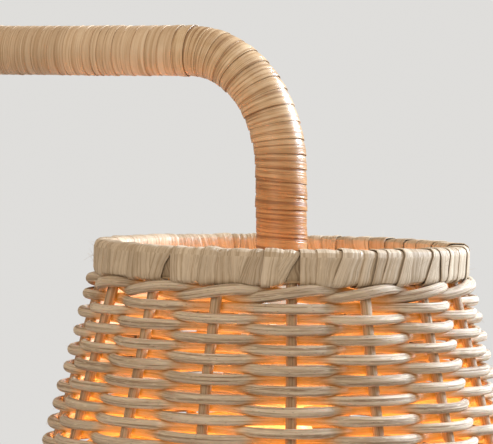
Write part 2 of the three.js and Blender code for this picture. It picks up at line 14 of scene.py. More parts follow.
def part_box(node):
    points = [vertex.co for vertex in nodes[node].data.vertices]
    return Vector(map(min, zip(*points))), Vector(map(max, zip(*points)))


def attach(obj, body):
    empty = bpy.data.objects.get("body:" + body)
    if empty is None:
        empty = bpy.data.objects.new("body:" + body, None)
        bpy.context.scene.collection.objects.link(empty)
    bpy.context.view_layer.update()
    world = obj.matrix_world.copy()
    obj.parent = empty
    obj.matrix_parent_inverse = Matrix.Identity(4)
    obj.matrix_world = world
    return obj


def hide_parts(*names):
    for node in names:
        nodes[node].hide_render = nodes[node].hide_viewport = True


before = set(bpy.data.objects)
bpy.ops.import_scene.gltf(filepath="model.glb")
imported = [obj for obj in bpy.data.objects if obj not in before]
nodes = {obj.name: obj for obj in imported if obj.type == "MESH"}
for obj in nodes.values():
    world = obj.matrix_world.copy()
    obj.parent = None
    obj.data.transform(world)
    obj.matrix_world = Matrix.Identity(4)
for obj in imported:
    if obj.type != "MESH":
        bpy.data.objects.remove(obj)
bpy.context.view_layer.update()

MM = 0.001
TAU = 2 * math.pi
UP = np.array([0, 0, 1.0])

# ---------------- sizes taken from the frame
rim_low, rim_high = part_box("top_rim_wrap")
foot_low, foot_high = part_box("bottom_rim_wrap")
stake_low, stake_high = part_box("stake_01")
hook_low, hook_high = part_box("hook_wrap")

AXIS_X = (rim_low.x + rim_high.x) / 2  # the shade's axis
AXIS = np.array([AXIS_X, 0, 0])
TOP_Z = rim_high.z
RIM_H = rim_high.z - rim_low.z
TOP_R = (rim_high.x - rim_low.x) / 2
FOOT_Z = foot_low.z
FOOT_R = (foot_high.x - foot_low.x) / 2
RIM_SKIN = 1.5 * MM  # from a rim's surface to the hoop inside it
SLOPE = (FOOT_R - TOP_R) / (rim_low.z - foot_high.z + 2 * RIM_SKIN)
STAKES = sum(name.startswith("stake_") for name in nodes)
COURSES = sum(name.startswith("weave_course_") for name in nodes)

# ---------------- sizes of the fine work
ROD_R = 2.3 * MM  # woven rods, across the wall
ROD_FLAT = 1.09  # and how much taller than that they are
ROW_PITCH = 4.59 * MM
FIRST_ROW = 27 * MM  # depth of the first row below the top edge
SWING = 5.3 * MM  # how far a rod passes outside or inside the stakes' centres
TWINE_R = 2.85 * MM
TWINE_DEPTH = 20.2 * MM  # depth of the twined pair below the top edge
TWINE_RISE = 2.3 * MM
TWINE_LAG = math.radians(28)  # how far short of the middle between two stakes a rod reaches its peak
STAKE_ROD_R = 2.7 * MM
POST_R = (hook_high.y - hook_low.y) / 2
BEND_ARM = 47 * MM  # length of each bend of the hook along the arm
BEND_UPRIGHT = 58 * MM  # and along the column or the drop
DROP_LEAN = 3.2 * MM  # the drop swings out this far on its way down to the shade's axis


def stake_radius(z):
    """Radius of the circle of stakes at height z."""
    middle_r = (stake_low.x + stake_high.x) / 2 - AXIS_X
    middle_z = (stake_low.z + stake_high.z) / 2
    return middle_r + SLOPE * (middle_z - z)


def add_object(name, data):
    made = bpy.data.objects.new(name, data)
    bpy.context.scene.collection.objects.link(made)
    return made


# ---------------- camera
CAMERA_AZIMUTH = math.radians(19.3)
CAMERA_DISTANCE = 1.175  # from the shade's axis
CAMERA_RISE = 0.050  # over the shade's top edge
CAMERA_PITCH = math.radians(1.957)
CAMERA_YAW = math.radians(0.87)
CAMERA_ROLL = math.radians(1.0)
SENSOR = 36  # mm across
LENS = 171.6  # mm


def add_camera():
    data = bpy.data.cameras.new("camera")
    data.sensor_width = SENSOR
    data.lens = LENS
    data.clip_end = 50
    camera = add_object("camera", data)
    x = AXIS_X + CAMERA_DISTANCE * math.sin(CAMERA_AZIMUTH)
    y = -CAMERA_DISTANCE * math.cos(CAMERA_AZIMUTH)
    turn = (
        Matrix.Rotation(CAMERA_AZIMUTH + CAMERA_YAW, 4, "Z")
        @ Matrix.Rotation(math.pi / 2 - CAMERA_PITCH, 4, "X")
        @ Matrix.Rotation(CAMERA_ROLL, 4, "Z")
    )
    camera.matrix_world = Matrix.Translation((x, y, TOP_Z + CAMERA_RISE)) @ turn
    bpy.context.scene.camera = camera


# ---------------- materials
class Shader:
    """A principled material with helpers for the nodes that its patterns need."""

    def __init__(self, name, **constants):
        self.material = bpy.data.materials.new(name)
        self.material.use_nodes = True
        self.tree = self.material.node_tree
        self.surface = self.tree.nodes["Principled BSDF"]
        self.look(**constants)

    def feed(self, socket, value):
        """Gives a socket a number, a vector or colour, or another node's output."""
        if isinstance(value, bpy.types.NodeSocket):
            self.tree.links.new(value, socket)
        elif socket.type == "RGBA":
            socket.default_value = (*value, 1)
        else:
            socket.default_value = value

    def look(self, **inputs):
        """Feeds the surface's inputs, named with _ for each space."""
        for name, value in inputs.items():
            self.feed(self.surface.inputs[name.replace("_", " ")], value)

    def node(self, kind, **settings):
        """A new node with its settings and its inputs, named with _ for each space."""
        made = self.tree.nodes.new("ShaderNode" + kind)
        for key, value in settings.items():
            if hasattr(made, key):
                setattr(made, key, value)
            else:
                self.feed(made.inputs[key.replace("_", " ")], value)
        return made

    def maths(self, operation, *values, kind="Math", result=0):
        made = self.node(kind, operation=operation)
        for socket, value in zip(made.inputs, values):
            self.feed(socket, value)
        return made.outputs[result]

    def coords(self, stretch, layer="strand"):
        """The strand coordinates, scaled: x along the strand, y across it."""
        uv = self.node("UVMap", uv_map=layer).outputs["UV"]
        return self.node("Mapping", vector_type="POINT", Vector=uv, Scale=stretch).outputs["Vector"]

    def place(self, stretch=(1, 1, 1)):
        """The object's own coordinates in metres, scaled."""
        where = self.node("TexCoord").outputs["Object"]
        return self.node("Mapping", vector_type="POINT", Vector=where, Scale=stretch).outputs["Vector"]

    def up(self):
        """Height above the floor in metres."""
        return self.node("SeparateXYZ", Vector=self.place()).outputs["Z"]

    def painted_bulb_light_mask(self):
        """Where the painted bulb light falls: 0 on the outside of the shade's wall and up to 1 on its
        inside, less near the top rim. It isn't cut off below the shade, so the base's coils under it take
        it too.
        """
        from_axis = self.maths("SUBTRACT", self.place(), (AXIS_X, 0, 0), kind="VectorMath")
        level = self.maths("MULTIPLY", from_axis, (1, 1, 0), kind="VectorMath")
        radius = self.maths("LENGTH", level, kind="VectorMath", result="Value")
        up = self.up()
        stakes = self.maths("ADD", self.maths("MULTIPLY", up, -SLOPE), stake_radius(0))
        depth = self.maths("SUBTRACT", stakes, radius)
        near_bulb = self.range(up, TOP_Z - 30 * MM, TOP_Z - 110 * MM, 0.45, 1.0)
        return self.maths("MULTIPLY", self.range(depth, -3 * MM, SWING, 0.0, 1.0), near_bulb)

    def noise(self, vector, scale=1.0, detail=3.0, roughness=0.5, distortion=0.0):
        shape = {"Scale": scale, "Detail": detail, "Roughness": roughness, "Distortion": distortion}
        return self.node("TexNoise", Vector=vector, **shape).outputs["Fac"]

    def ramp(self, fac, *stops):
        """A colour ramp; each stop is (position, colour)."""
        made = self.node("ValToRGB", Fac=fac)
        elements = made.color_ramp.elements
        while len(elements) < len(stops):
            elements.new(0.5)
        for element, (position, colour) in zip(elements, stops):
            element.position = position
            element.color = (*colour, 1)
        return made.outputs["Color"]

    def range(self, value, low, high, to_low, to_high):
        ends = {"From_Min": low, "From_Max": high, "To_Min": to_low, "To_Max": to_high}
        return self.node("MapRange", Value=value, **ends).outputs["Result"]

    def mix(self, fac, a, b, blend="MIX"):
        made = self.node("Mix", data_type="RGBA", blend_type=blend)
        for socket, value in ((0, fac), (6, a), (7, b)):
            self.feed(made.inputs[socket], value)
        return made.outputs[2]

    def finish(self, colour, roughness, height, distance):
        """Gives the surface its colour, roughness and bump, and returns the material."""
        bumped = self.node("Bump", Strength=1, Distance=distance, Height=height)
        self.look(Base_Color=colour, Roughness=roughness, Normal=bumped.outputs["Normal"])
        return self.material


def times(colour, share):
    return tuple(min(share * c, 0.95) for c in colour)


PAINTED_BULB_TINT = (0.60, 0.34, 0.12)  # painted bulb light: the warm colour that the lit bulb casts on the rattan inside the wall
PAINTED_BULB_TINT_SHARE = 0.65
GLOW = (1.0, 0.30, 0.015)  # painted glow: the rattan inside the wall emits the lit bulb's colour as if after passing through rattan
DEEP_PEEL = (0.83, 0.63, 0.43)
OLD_STRAND = (0.66, 0.62, 0.58)  # what the darkest strands are tinted with
# how far the painted shade in creases looks round a point for other surfaces
CREASE_SHADE_REACH = 2.5 * MM


def fibrous(
    name, pale, mid, dark, fibres=1050, fibre_bump=0.5 * MM, gloss=(0.32, 0.58),
    pores=0.0, through=0.0, glow=0.0, deepen=None, crease_shade=0.7, frayed=0.0,
):
    """Rattan or raffia: fibres along the strand, tone that changes from strand to strand, and pores.

    through is how much of the light goes into the strand and comes out again, mostly red and orange.
    glow is how strongly it shows a painted glow inside the shade's wall, where it also takes a painted
    warm tint of the lit bulb. deepen is the height where it starts to turn darker and the height where
    it ends. nooks is how dark the painted shade in its narrow creases gets, and frayed is how clearly
    short pale ends show.
    """
    s = Shader(
        name,
        Specular_IOR_Level=0.5,
        Subsurface_Weight=through,
        Subsurface_Scale=5 * MM,
        Subsurface_Radius=(1.0, 0.5, 0.16),
    )
    streak = s.noise(s.coords((12, fibres, 1)), detail=4, roughness=0.72)
    broad = s.noise(s.coords((8, fibres / 3, 1)), detail=2, roughness=0.5)
    patches = s.noise(s.coords((28, 60, 1)), detail=3, roughness=0.6)
    tone = s.noise(s.coords((37, 37, 1), "tone"), detail=0)
    streaks = s.ramp(streak, (0.41, dark), (0.49, mid), (0.57, pale))
    bands = s.ramp(broad, (0.36, mid), (0.58, pale))
    base = s.mix(0.25, streaks, bands)
    colour = s.mix(s.range(patches, 0.5, 0.75, 0.0, 0.5), base, dark)
    if frayed:
        fray = s.noise(s.coords((170, 1500, 1)), detail=2, roughness=0.6)
        colour = s.mix(s.range(fray, 0.55, 0.68, 0.0, frayed), colour, times(pale, 1.2))
    colour = s.mix(0.7, colour, s.ramp(tone, (0.3, OLD_STRAND), (0.7, (1, 1, 1))), "MULTIPLY")
    height = s.maths("ADD", streak, broad)
    if pores:
        cells = s.node("TexVoronoi", feature="F1", Scale=1, Vector=s.coords((330, 900, 1)))
        hole = s.range(cells.outputs["Distance"], 0.05, 0.16, pores, 0.0)
        colour = s.mix(hole, colour, times(dark, 0.35))
        height = s.maths("SUBTRACT", height, s.maths("MULTIPLY", hole, 0.5))
    if deepen:
        colour = s.mix(s.range(s.up(), *deepen, 0.0, 1.0), colour, DEEP_PEEL, "MULTIPLY")
    # painted bulb light: inside the wall the colour turns to a warm tint and the rattan emits a painted
    # glow
    if glow:
        inside = s.painted_bulb_light_mask()
        colour = s.mix(s.maths("MULTIPLY", inside, PAINTED_BULB_TINT_SHARE), colour, PAINTED_BULB_TINT)
        glowing = s.mix(s.maths("MULTIPLY", inside, glow), (0, 0, 0), GLOW)
        s.look(Emission_Color=glowing, Emission_Strength=1)
    # painted shade: the colour darkens in narrow creases, found by ambient occlusion
    nook = s.node("AmbientOcclusion", samples=6, Distance=CREASE_SHADE_REACH)
    shade = s.range(nook.outputs["AO"], 0.1, 0.85, crease_shade, 0.0)
    colour = s.mix(shade, colour, times(dark, 0.5))
    return s.finish(colour, s.range(streak, 0.4, 0.6, gloss[1], gloss[0]), height, fibre_bump)


def metal(name, colour, rough):
    s = Shader(name, Metallic=1.0)
    grain = s.noise(s.place((400, 400, 20)), scale=3, detail=4, roughness=0.6)
    stain = s.noise(s.place((60, 60, 60)))
    stained = s.mix(s.range(stain, 0.4, 0.7, 0.0, 0.7), colour, times(colour, 0.72))
    return s.finish(stained, s.range(grain, 0.3, 0.7, rough, rough + 0.18), grain, 0.03 * MM)


def plastic(name, colour, rough=0.35):
    s = Shader(name, Specular_IOR_Level=0.5)
    grain = s.noise(s.place((2200, 2200, 2200)), detail=2)
    cloud = s.noise(s.place((40, 40, 40)), detail=2)
    clouded = s.mix(s.range(cloud, 0.35, 0.7, 0.0, 0.5), colour, times(colour, 0.86))
    return s.finish(clouded, s.range(grain, 0.3, 0.7, rough, rough + 0.15), grain, 0.02 * MM)


def plywood(name):
    s = Shader(name)
    grain = s.noise(s.place((18, 240, 700)), detail=4, roughness=0.6, distortion=0.4)
    colour = s.ramp(grain, (0.3, (0.34, 0.22, 0.12)), (0.7, (0.62, 0.46, 0.28)))
    return s.finish(colour, s.range(grain, 0.3, 0.7, 0.55, 0.8), grain, 0.1 * MM)


def felt(name):
    s = Shader(name, Sheen_Weight=0.4, Sheen_Roughness=0.5)
    fuzz = s.noise(s.place((1500, 1500, 1500)), detail=5, roughness=0.7)
    colour = s.ramp(fuzz, (0.3, (0.035, 0.033, 0.03)), (0.75, (0.11, 0.105, 0.1)))
    return s.finish(colour, s.range(fuzz, 0.3, 0.7, 0.85, 1.0), fuzz, 0.3 * MM)


def lit_glass(name):
    """Opal glass with the lamp lit."""
    s = Shader(name, Roughness=0.3, Emission_Strength=1.1)
    cloud = s.noise(s.place((70, 70, 70)), detail=2)
    colour = s.ramp(cloud, (0.3, (0.9, 0.82, 0.7)), (0.7, (1.0, 0.94, 0.85)))
    warm = s.ramp(cloud, (0.3, (1.0, 0.38, 0.07)), (0.7, (1.0, 0.43, 0.09)))
    s.look(Base_Color=colour, Emission_Color=warm)
    return s.material


ROD = fibrous(
    "rattan_rod",
    pale=(0.82, 0.70, 0.55),
    mid=(0.62, 0.49, 0.35),
    dark=(0.25, 0.15, 0.08),
    fibres=620,
    fibre_bump=0.9 * MM,
    gloss=(0.48, 0.7),
    pores=0.6,
    through=0.15,
    glow=0.78,
    crease_shade=0.85,
    frayed=0.6,
)
STAKE = fibrous(
    "rattan_stake",
    pale=(0.70, 0.56, 0.40),
    mid=(0.56, 0.42, 0.27),
    dark=(0.32, 0.20, 0.11),
    pores=0.4,
    through=0.15,
    glow=0.3,
    crease_shade=0.8,
)
PEEL = fibrous(
    "rattan_peel",
    pale=(0.81, 0.635, 0.445),
    mid=(0.70, 0.50, 0.32),
    dark=(0.52, 0.35, 0.20),
    fibres=850,
    gloss=(0.42, 0.6),
    crease_shade=0.45,
)
DROP_PEEL = fibrous(
    "rattan_peel_dark",
    pale=(0.84, 0.64, 0.42),
    mid=(0.64, 0.43, 0.24),
    dark=(0.30, 0.15, 0.06),
    fibres=620,
    gloss=(0.2, 0.42),
    deepen=(TOP_Z + 62 * MM, TOP_Z + 20 * MM),
)
RAFFIA = fibrous(
    "raffia",
    pale=(0.78, 0.66, 0.51),
    mid=(0.67, 0.54, 0.39),
    dark=(0.42, 0.31, 0.19),
    fibres=900,
    gloss=(0.38, 0.62),
    glow=0.03,
    crease_shade=0.5,
    frayed=0.4,
)
# painted shade: a darker copy of the raffia for the layer below the strips, where they shade it
SHADED_UNDER_RAFFIA = fibrous(
    "raffia_under_shaded",
    pale=(0.52, 0.41, 0.28),
    mid=(0.42, 0.31, 0.20),
    dark=(0.28, 0.19, 0.11),
    fibres=1300,
    gloss=(0.5, 0.7),
)
STEEL = metal("zinc_steel", (0.62, 0.62, 0.60), 0.32)
DARK_STEEL = metal("mill_steel", (0.40, 0.40, 0.41), 0.42)
BRASS = metal("brass", (0.72, 0.52, 0.24), 0.25)
HOLDER = plastic("holder_plastic", (0.80, 0.77, 0.70))
INSULATOR = plastic("holder_insulator", (0.70, 0.67, 0.60), 0.45)
SLEEVE = plastic("lead_sleeve", (0.66, 0.62, 0.54), 0.4)
BOARD = plywood("plywood")
FELT = felt("felt")
GLASS = lit_glass("opal_glass")


# ---------------- mesh building
def travelled(points):
    """The distance along a line of points up to each of them."""
    return np.r_[0, np.cumsum(np.linalg.norm(np.diff(points, axis=0), axis=1))]


class Skin:
    """Grids of points gathered into one mesh, with each point's place on its strand kept as a UV.

    A grid's rows run along the strand and its columns run round it. A strand that isn't closed along
    its length gets a cap on each end. tone is a pair of numbers that the whole strand shares, so that
    materials can tell strands apart.
    """

    def __init__(self):
        self.points = []
        self.loops = []
        self.sizes = []
        self.strand = []
        self.tone = []
        self.count = 0

    def add(self, grid, closed_along=False, tone=(0, 0)):
        rows, columns = grid.shape[:2]
        index = self.count + np.arange(rows * columns).reshape(rows, columns)
        full = grid
        if closed_along:
            index = np.vstack([index, index[:1]])
            full = np.concatenate([full, full[:1]])
        index = np.hstack([index, index[:, :1]])
        full = np.concatenate([full, full[:, :1]], 1)
        along = travelled(full.mean(1))
        across = travelled(full[len(full) // 2])
        place = np.stack(np.meshgrid(along + tone[0], across + tone[1], indexing="ij"), -1)

        corners = ((0, 0), (0, 1), (1, 1), (1, 0))
        quads = np.stack([self._corner(index, c) for c in corners], -1).reshape(-1, 4)
        uvs = np.stack([self._corner(place, c) for c in corners], -2).reshape(-1, 4, 2)
        local = grid.reshape(-1, 3) - grid.reshape(-1, 3).mean(0)
        a, b, c, d = (local[quads[:, k] - self.count] for k in range(4))
        volume = np.einsum("ij,ij->", a, np.cross(b, c)) + np.einsum("ij,ij->", a, np.cross(c, d))
        outward = volume > 0
        if not outward:
            quads, uvs = quads[:, ::-1], uvs[:, ::-1]
        self._store(quads.ravel(), [4] * len(quads), uvs.reshape(-1, 2), tone)
        if not closed_along:
            for row, flip in ((0, outward), (rows - 1, not outward)):
                ends = self.count + row * columns + np.arange(columns)
                ends = ends[::-1] if flip else ends
                self._store(ends, [columns], np.zeros((columns, 2)) + tone[0], tone)
        self.points.append(grid.reshape(-1, 3))
        self.count += rows * columns

    @staticmethod
    def _corner(values, corner):
        i, j = corner
        return values[i : values.shape[0] - 1 + i, j : values.shape[1] - 1 + j]

    def _store(self, loops, sizes, strand, tone):
        self.loops.append(loops)
        self.sizes.extend(sizes)
        self.strand.append(strand)
        self.tone.append(np.tile(tone, (len(loops), 1)))

    def build(self, name, material, slot, *replaced, body="lamp", crease=45):
        """The finished object. It stands for the CAD nodes in replaced and moves with body."""
        mesh = bpy.data.meshes.new(name)
        points = np.concatenate(self.points)
        loops = np.concatenate(self.loops)
        sizes = np.array(self.sizes)
        mesh.vertices.add(len(points))
        mesh.vertices.foreach_set("co", points.astype(np.float32).ravel())
        mesh.loops.add(len(loops))
        mesh.loops.foreach_set("vertex_index", loops.astype(np.int32))
        mesh.polygons.add(len(sizes))
        mesh.polygons.foreach_set("loop_start", np.r_[0, np.cumsum(sizes)[:-1]].astype(np.int32))
        for layer, values in (("strand", self.strand), ("tone", self.tone)):
            uv = mesh.uv_layers.new(name=layer)
            uv.data.foreach_set("uv", np.concatenate(values).astype(np.float32).ravel())
        mesh.update(calc_edges=True)
        mesh.validate()
        mesh.polygons.foreach_set("use_smooth", [True] * len(mesh.polygons))
        mesh.set_sharp_from_angle(angle=math.radians(crease))
        mesh.materials.append(material)
        made = add_object(name, mesh)
        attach(made, body)
        if replaced:
            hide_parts(*replaced)


def add_piece(grid, name, material, slot, *replaced, tone=(1, 1), closed_along=False, **settings):
    """An object made of one grid."""
    skin = Skin()
    skin.add(grid, closed_along=closed_along, tone=tone)
    skin.build(name, material, slot, *replaced, **settings)


def random_for(*key):
    """A random stream that is the same in every run, one for each key."""
    return np.random.RandomState(sum((i + 1) * 7919 * int(k) for i, k in enumerate(key)) % 2**31)


def any_tone(rng):
    """A pair of numbers that sets one strand's tone apart from another's."""
    return tuple(rng.uniform(0, 30, 2))


def circle(steps):
    """Equal steps round a whole turn."""
    return np.arange(steps) * TAU / steps


def around(angle):
    """The direction out from a vertical axis and the one round it."""
    outward = np.stack([np.cos(angle), np.sin(angle), 0 * angle], -1)
    sideways = np.stack([-np.sin(angle), np.cos(angle), 0 * angle], -1)
    return outward, sideways


def polar(radius, angle, z, centre_x=AXIS_X):
    """Points round a vertical axis."""
    radius, angle, z = np.broadcast_arrays(radius, angle, z)
    return np.stack([centre_x + radius * np.cos(angle), radius * np.sin(angle), z], -1)


def blended(at, known, rows):
    """Rows of numbers that belong to known places, blended for other places."""
    return np.stack([np.interp(at, known, column) for column in rows.T], -1)


def ring_values(values, angle):
    """Values given at equal steps round a circle, blended smoothly at the given angles."""
    place = (angle / TAU) % 1 * len(values)
    low = np.floor(place).astype(int) % len(values)
    share = place - np.floor(place)
    share = share * share * (3 - 2 * share)
    return values[low] * (1 - share) + values[(low + 1) % len(values)] * share


def tube(points, sideways, upward, radius, sides=10, flat=1.0):
    """A grid of circles round a line, each flat times as wide upward as it is sideways."""
    turn = circle(sides)[None, :, None]
    radius, flat = (np.reshape(size, (-1, 1, 1)) for size in (radius, flat))
    across = np.cos(turn) * sideways[:, None, :] + flat * np.sin(turn) * upward[:, None, :]
    return points[:, None, :] + radius * across


def rod_along(points, radius, closed=False, sides=10, flat=1.0):
    """A tube round a line of points, with its width kept level."""
    if closed:
        along = np.roll(points, -1, 0) - np.roll(points, 1, 0)
    else:
        along = np.gradient(points, axis=0)
    along /= np.linalg.norm(along, axis=1)[:, None]
    level = np.cross(along, UP)
    level /= np.linalg.norm(level, axis=1)[:, None]
    return tube(points, level, np.cross(level, along), radius, sides, flat)


# ---------------- shade
round_the_shade = circle(14 * STAKES)


def uneven(rng, spread, count=STAKES):
    """A small random change round the shade."""
    return ring_values(rng.normal(0, spread, count), round_the_shade)


def row_height(row):
    return TOP_Z - FIRST_ROW - ROW_PITCH * row


def row_phase(row, angle):
    """Where a row is in its swing: its cosine is 1 outside a stake and -1 inside one."""
    return STAKES / 2 * angle + math.pi * (3 + row)


def woven_row(row):
    """One rod of the wall: outside every other stake and inside the rest."""
    rng = random_for(11, row)
    side = np.cos(row_phase(row, round_the_shade))
    side = side * (1 + 0.12 * (1 - side**2))
    droop = uneven(rng, 0.26)
    stand = uneven(rng, 0.22)
    z = row_height(row) + droop * MM
    points = polar(stake_radius(z) + SWING * side + stand * MM, round_the_shade, z)
    thick = rng.uniform(0.95, 1.05) + uneven(rng, 0.025, 3 * STAKES)
    flat = ROD_FLAT * rng.uniform(0.96, 1.03)
    return rod_along(points, ROD_R * thick, closed=True, sides=12, flat=flat)


def add_wall():
    weave_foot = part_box(f"weave_course_{COURSES}")[0].z
    rows = int((TOP_Z - FIRST_ROW - weave_foot) / ROW_PITCH + 0.6) + 1
    per_course = math.ceil(rows / COURSES)
    for course in range(COURSES):
        skin = Skin()
        for row in range(course * per_course, min((course + 1) * per_course, rows)):
            skin.add(woven_row(row), closed_along=True, tone=any_tone(random_for(12, row)))
        number = course + 1
        skin.build(f"woven_rods_{number}", ROD, "rattan_rod", f"weave_course_{number}")


def twined_rod(strand, middle_z, seed):
    """One of two rods that turn round each other between the stakes, rising to the right outside."""
    rng = random_for(seed, strand)
    phase = STAKES / 2 * round_the_shade + math.pi * strand
    droop = uneven(rng, 0.22) * MM
    z = middle_z + TWINE_RISE * np.sin(phase + TWINE_LAG) + droop
    points = polar(stake_radius(middle_z) + SWING * np.cos(phase), round_the_shade, z)
    thick = 1 + uneven(rng, 0.05, 2 * STAKES)
    return rod_along(points, TWINE_R * thick, closed=True, sides=12, flat=0.95)


def add_twines():
    heights = {"top": TOP_Z - TWINE_DEPTH, "bottom": FOOT_Z + TWINE_DEPTH}
    for seed, (place, middle_z) in enumerate(heights.items(), 21):
        for strand, letter in enumerate("ab"):
            grid = twined_rod(strand, middle_z, seed)
            tone = any_tone(random_for(13, seed, strand))
            piece = (f"{place}_twined_rod_{letter}", ROD, "rattan_rod", f"{place}_twine_{letter}")
            add_piece(grid, *piece, tone=tone, closed_along=True)


def add_stakes():
    POINTS = 44
    TUCKED = 2 * MM  # how far a stake stands up into its rim
    z = np.linspace(TOP_Z - RIM_H + TUCKED, FOOT_Z + RIM_H - TUCKED, POINTS)
    bend_z, waver_z = z[::-8], z[::-5]
    for i in range(STAKES):
        rng = random_for(14, i)
        angle = TAU * i / STAKES + np.interp(z, bend_z, rng.normal(0, 0.0022, len(bend_z)))
        radius = stake_radius(z) + np.interp(z, waver_z, rng.normal(0, 0.15 * MM, len(waver_z)))
        outward, sideways = around(angle)
        thick = rng.uniform(0.96, 1.04) * (1 + rng.normal(0, 0.012, POINTS))
        grid = tube(polar(radius, angle, z), sideways, outward, STAKE_ROD_R * thick, sides=12)
        number = f"{i + 1:02d}"
        add_piece(grid, f"stake_rod_{number}", STAKE, "rattan_rod", f"stake_{number}", tone=any_tone(rng))


def rounded_loop(half_w, half_h, corner, steps):
    """Points evenly spaced round a rectangle with round corners, as (x, y) and the outward direction."""
    path, normals = [], []
    for quarter, (side_x, side_y) in enumerate(((1, 1), (-1, 1), (-1, -1), (1, -1))):
        middle = np.array([side_x * (half_w - corner), side_y * (half_h - corner)])
        for share in np.linspace(0, 1, 7):
            angle = math.pi / 2 * (quarter + share)
            normals.append(np.array([math.cos(angle), math.sin(angle)]))
            path.append(middle + corner * normals[-1])
    path, normals = np.array(path + path[:1]), np.array(normals + normals[:1])
    reach = travelled(path)
    at = np.linspace(0, reach[-1], steps, endpoint=False)
    outward = blended(at, reach, normals)
    return blended(at, reach, path), outward / np.linalg.norm(outward, axis=1)[:, None]


def wrapped_ring(ring, strips, seed, lean, slipped=(), proud=(), loose=1.0):
    """Flat strips wound one after another round a hoop, each over the edge of the one before.

    ring is the axis's x, the radius of the hoop's middle, its low and high edge and its depth. lean is
    the mean and the spread of how far a strip leans sideways for each metre of height. slipped lists
    angles in degrees where a strip's foot has slid aside and leaves a triangle open, and proud lists
    those where a strip's edge stands well clear of the one before.
    """
    STRIP_T = 0.4 * MM
    COLUMNS = 19
    RIDGES = 11  # raised fibre bundles across a strip
    SLIDE = 7.5 * MM  # how far a slipped strip's foot has moved
    centre_x, radius, low, high, depth = ring
    skin = Skin()
    rng = random_for(seed)
    widths = rng.uniform(0.55, 1.45, strips)
    edges = np.cumsum(widths) / widths.sum() * TAU
    edges = np.r_[edges[-1] - TAU, edges]
    open_after = {int(np.argmin(np.abs(edges[1:] - math.radians(a)))) for a in slipped}
    standing = {int(np.argmin(np.abs(edges[:-1] - math.radians(a)))) for a in proud}
    leans = np.clip(rng.normal(*lean, strips + 1), lean[0] - 0.3, lean[0] + 0.3)
    leans[-1] = leans[0]
    leans[[i + 1 for i in open_after]] = 0
    section, outward = rounded_loop(depth / 2, (high - low) / 2, min(depth, high - low) * 0.22, 34)
    middle_z = (low + high) / 2
    columns = np.linspace(0, 1, COLUMNS)
    height = section[:, 1]
    down = 0.5 - height / (high - low)
    outside = np.clip(section[:, 0] / (depth / 2), 0, 1)
    for i in range(strips):
        width = edges[i + 1] - edges[i]
        tuck = 0.0 if i - 1 in open_after else rng.uniform(0.05, 0.3)
        wavy = 0.04 * width * np.sin(3 * math.pi * down)
        left = edges[i] + leans[i] * height / radius - tuck * width
        right = edges[i + 1] + leans[i + 1] * height / radius + wavy
        if i in open_after:
            slide = outside * SLIDE / radius * down
            right = right - slide
            left = left - 0.6 * slide
        bundles = rng.uniform(-0.13, 0.13, RIDGES)
        ridges = np.interp(columns, np.linspace(0, 1, RIDGES), bundles) + rng.normal(0, 0.03, COLUMNS)
        ridges *= MM * loose
        ridges[[0, -1]] = -0.06 * MM
        raised = (3.2 if i in standing else rng.uniform(0.8, 3.0)) * STRIP_T * loose
        arch = 0.5 * MM * loose * np.sin(math.pi * columns)
        lift = raised * (1 - columns) ** 1.3 + arch + ridges
        swell = rng.uniform(-0.15, 0.3) * MM * loose
        ragged = 1 + np.clip(rng.normal(0.0, 0.05), -0.12, 0.08) * loose
        layers = []
        for share, rise in ((columns, lift + STRIP_T + swell), (columns[::-1], lift[::-1] + swell)):
            angle = left[:, None] * (1 - share) + right[:, None] * share
            out = section[:, None, 0] + outward[:, None, 0] * rise
            up = np.where(height < 0, ragged, 1)[:, None] * height[:, None] + outward[:, None, 1] * rise
            layers.append(polar(radius + out, angle, middle_z + up, centre_x))
        skin.add(np.concatenate(layers, 1), closed_along=True, tone=any_tone(rng))
    return skin


def add_rim(name, outer, low, high, strips, seed, slipped, proud):
    DEPTH = 9.2 * MM
    INSET = 0.8 * MM  # how far inside the CAD's rim the strips' lower faces lie
    UNDER = 1.1 * MM  # and from there to the layer below them
    middle_r = outer - INSET - DEPTH / 2
    ring = (AXIS_X, middle_r, low + INSET + UNDER, high - INSET - UNDER, DEPTH - 2 * UNDER)
    skin = wrapped_ring(ring, strips // 2, seed + 50, (-0.1, 0.05), loose=0.2)
    # the layer below takes the darker copy of the raffia, painted shade
    skin.build(f"{name}_under", SHADED_UNDER_RAFFIA, "raffia", crease=35)
    ring = (AXIS_X, middle_r, low + INSET, high - INSET, DEPTH)
    skin = wrapped_ring(ring, strips, seed, (0.2, 0.14), slipped, proud)
    skin.build(f"{name}_raffia", RAFFIA, "raffia", f"{name}_wrap", crease=35)


def add_rims():
    top = ("top_rim", TOP_R, rim_low.z, rim_high.z)
    add_rim(*top, 74, 31, slipped=(86, 181, 254, 295), proud=(20, 120, 231, 266, 307, 325, 337))
    bottom = ("bottom_rim", FOOT_R, foot_low.z, foot_high.z)
    add_rim(*bottom, 108, 32, slipped=(48, 160, 275), proud=(75, 200, 318))


def hair(start, direction, length, curl, rng):
    """A fine stray fibre that leaves start in a direction and curls away from it."""
    HAIR_R = 0.07 * MM
    share = np.linspace(0, 1, 7)[:, None]
    points = start + direction * length * share + rng.normal(0, 1, 3) * curl * length * share**2
    return rod_along(points, HAIR_R * (1 - 0.6 * share), sides=4)


